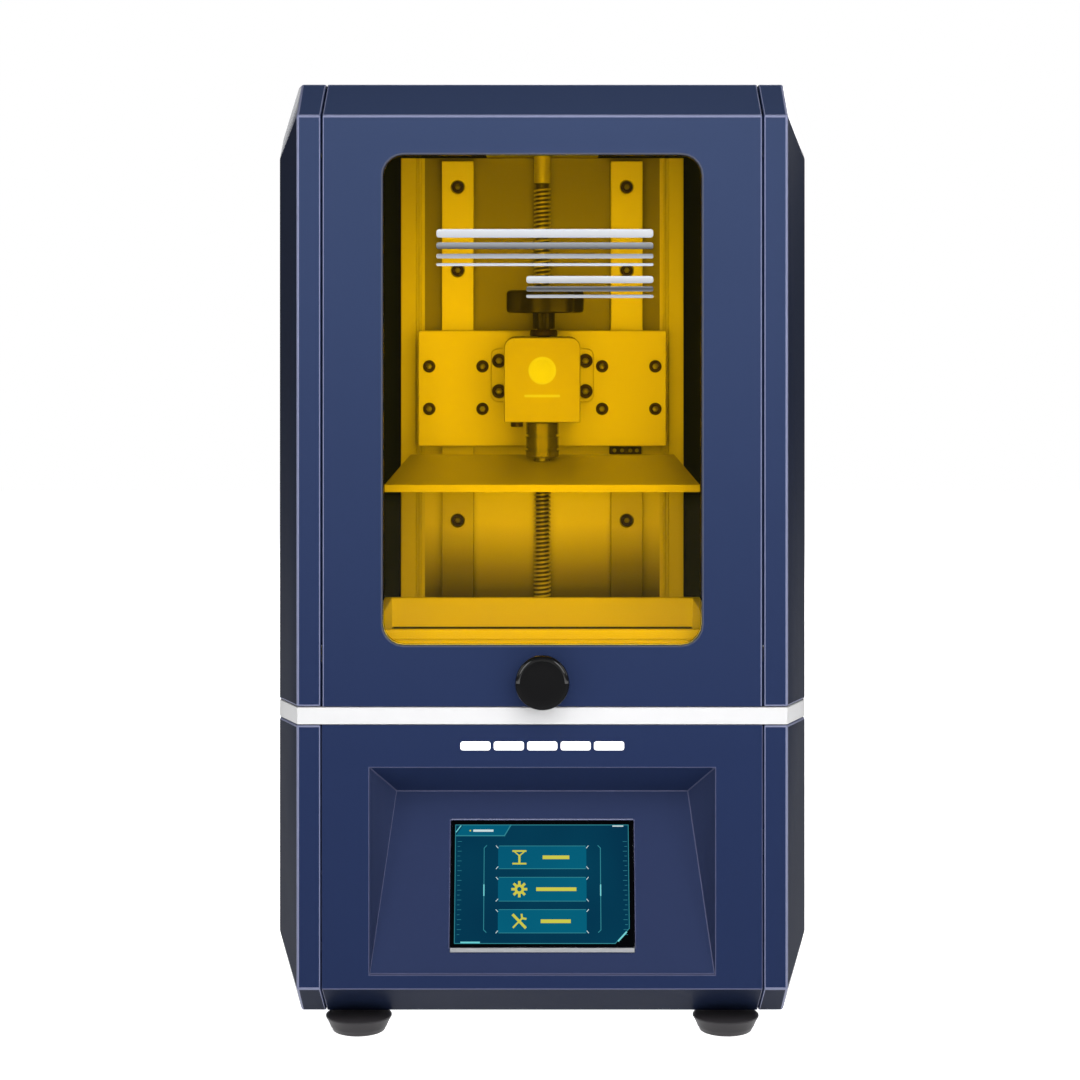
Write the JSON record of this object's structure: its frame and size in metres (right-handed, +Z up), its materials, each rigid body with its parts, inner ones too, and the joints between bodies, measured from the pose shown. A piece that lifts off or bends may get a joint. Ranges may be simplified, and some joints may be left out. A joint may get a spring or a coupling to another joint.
{
  "type": "resin printer",
  "caption": "Desktop resin printer with a flip-up windowed hood, screw-driven lift, levelling build plate, lift-out resin vat and tilted touch screen.",
  "frame": {"origin": "on the table, under the middle of the machine's bounding box", "axes": "+X to the machine's right as seen from the front, -Y out of the front, +Z up"},
  "size_m": [0.2212, 0.216, 0.4],
  "materials": {
    "body_paint": "satin dark blue powder coat",
    "trim_white": "smooth white",
    "window_acrylic": "clear amber acrylic, gloss",
    "knob_black": "gloss black",
    "column_aluminium": "satin anodised",
    "deck_aluminium": "satin",
    "carriage_aluminium": "fine blasted",
    "platform_aluminium": "brushed",
    "vat_aluminium": "machined, anodised",
    "rail_steel": "ground",
    "screw_steel": "polished",
    "plain_steel": "zinc plated",
    "thumbscrew_steel": "knurled",
    "nut_brass": "machined",
    "motor_black": "matt black",
    "fitting_black": "moulded black",
    "foot_rubber": "matt",
    "circuit_board": "solder mask",
    "touch_screen": "lit display under glass",
    "lcd_glass": "dark gloss",
    "vat_film": "clear film"
  },
  "bodies": {
    "base": {"lower_side_panel_left": "body_paint", "lower_side_panel_right": "body_paint", "upper_side_panel_left": "body_paint", "upper_side_panel_right": "body_paint", "lower_front_panel": "body_paint", "lower_back_panel": "body_paint", "upper_back_panel": "body_paint", "trim_band": "trim_white", "column": "column_aluminium", "deck_plate": "deck_aluminium", "uv_lamp_housing": "deck_aluminium", "heatsink": "deck_aluminium", "top_bearing_block": "deck_aluminium", "rail_left": "rail_steel", "rail_right": "rail_steel", "base_pan": "plain_steel", "frame_wall_left": "plain_steel", "frame_wall_right": "plain_steel", "motor_bracket": "plain_steel", "body_hinge_leaf": "plain_steel", "hinge_pin": "plain_steel", "screen_trim": "plain_steel", "usb_port": "plain_steel", "z_motor": "motor_black", "switch_housing": "fitting_black", "dc_jack": "fitting_black", "exhaust_fan_frame": "fitting_black", "foot_front_left": "foot_rubber", "foot_front_right": "foot_rubber", "foot_rear_left": "foot_rubber", "foot_rear_right": "foot_rubber", "main_board": "circuit_board", "uv_led_board": "circuit_board", "touch_screen": "touch_screen", "lcd_panel": "lcd_glass"},
    "hood": {"hood_shell": "body_paint", "window_pane": "window_acrylic", "hood_knob": "knob_black", "hood_hinge_leaf": "plain_steel"},
    "carriage": {"carriage_plate": "carriage_aluminium", "guide_block_left": "rail_steel", "guide_block_right": "rail_steel", "lead_nut": "nut_brass", "arm_bracket": "carriage_aluminium"},
    "screw": {"lead_screw": "screw_steel", "motor_shaft": "screw_steel", "shaft_coupler": "screw_steel"},
    "platform_mount": {"clamp_block": "carriage_aluminium", "clamp_washer": "plain_steel", "platform_post": "platform_aluminium"},
    "clamp_screw": {"clamp_knob": "knob_black"},
    "ball": {"levelling_ball": "plain_steel"},
    "platform": {"build_plate": "platform_aluminium"},
    "vat": {"vat_frame": "vat_aluminium", "vat_film": "vat_film", "film_ring": "vat_aluminium"},
    "vat_screw_left": {"vat_thumbscrew_left": "thumbscrew_steel"},
    "vat_screw_right": {"vat_thumbscrew_right": "thumbscrew_steel"},
    "rocker": {"power_rocker": "fitting_black"},
    "fan_rotor": {"exhaust_fan_rotor": "fitting_black"}
  },
  "joints": [
    {"name": "hood_hinge", "type": "hinge", "parent": "base", "child": "hood", "pos_m": [0, 0.081, 0.3974], "axis": [-1, 0, 0], "range_deg": [0, 105]},
    {"name": "z_lift", "type": "slide", "parent": "base", "child": "carriage", "axis": [0, 0, 1], "range_m": [-0.0705, 0.08]},
    {"name": "screw_turn", "type": "hinge", "parent": "base", "child": "screw", "pos_m": [0, 0.055, 0.15], "axis": [0, 0, 1], "range_deg": [-14420, 12710]},
    {"name": "platform_release", "type": "slide", "parent": "carriage", "child": "platform_mount", "axis": [0, -1, 0], "range_m": [0, 0.04]},
    {"name": "clamp_turn", "type": "hinge", "parent": "platform_mount", "child": "clamp_screw", "pos_m": [0, 0.01, 0.3134], "axis": [0, 0, 1], "range_deg": [0, 720]},
    {"name": "level_front_back", "type": "hinge", "parent": "platform_mount", "child": "ball", "pos_m": [0, -0.002, 0.2324], "axis": [1, 0, 0], "range_deg": [-1, 1]},
    {"name": "level_left_right", "type": "hinge", "parent": "ball", "child": "platform", "pos_m": [0, -0.002, 0.2324], "axis": [0, 1, 0], "range_deg": [-1, 1]},
    {"name": "vat_lift", "type": "slide", "parent": "base", "child": "vat", "axis": [0, 0, 1], "range_m": [0, 0.035]},
    {"name": "vat_screw_left_turn", "type": "hinge", "parent": "vat", "child": "vat_screw_left", "pos_m": [-0.0816, -0.006, 0.1603], "axis": [0, 0, 1], "range_deg": [0, 1800]},
    {"name": "vat_screw_right_turn", "type": "hinge", "parent": "vat", "child": "vat_screw_right", "pos_m": [0.0816, -0.006, 0.1603], "axis": [0, 0, 1], "range_deg": [0, 1800]},
    {"name": "power_switch", "type": "hinge", "parent": "base", "child": "rocker", "pos_m": [-0.055, 0.104, 0.04], "axis": [1, 0, 0], "range_deg": [0, 11]},
    {"name": "fan_spin", "type": "hinge", "parent": "base", "child": "fan_rotor", "pos_m": [0.045, 0.1057, 0.06], "axis": [0, 1, 0], "continuous": true}
  ],
  "couplings": [
    {"joint": "screw_turn", "follows": "z_lift", "rad_per_m": -3141.6}
  ]
}
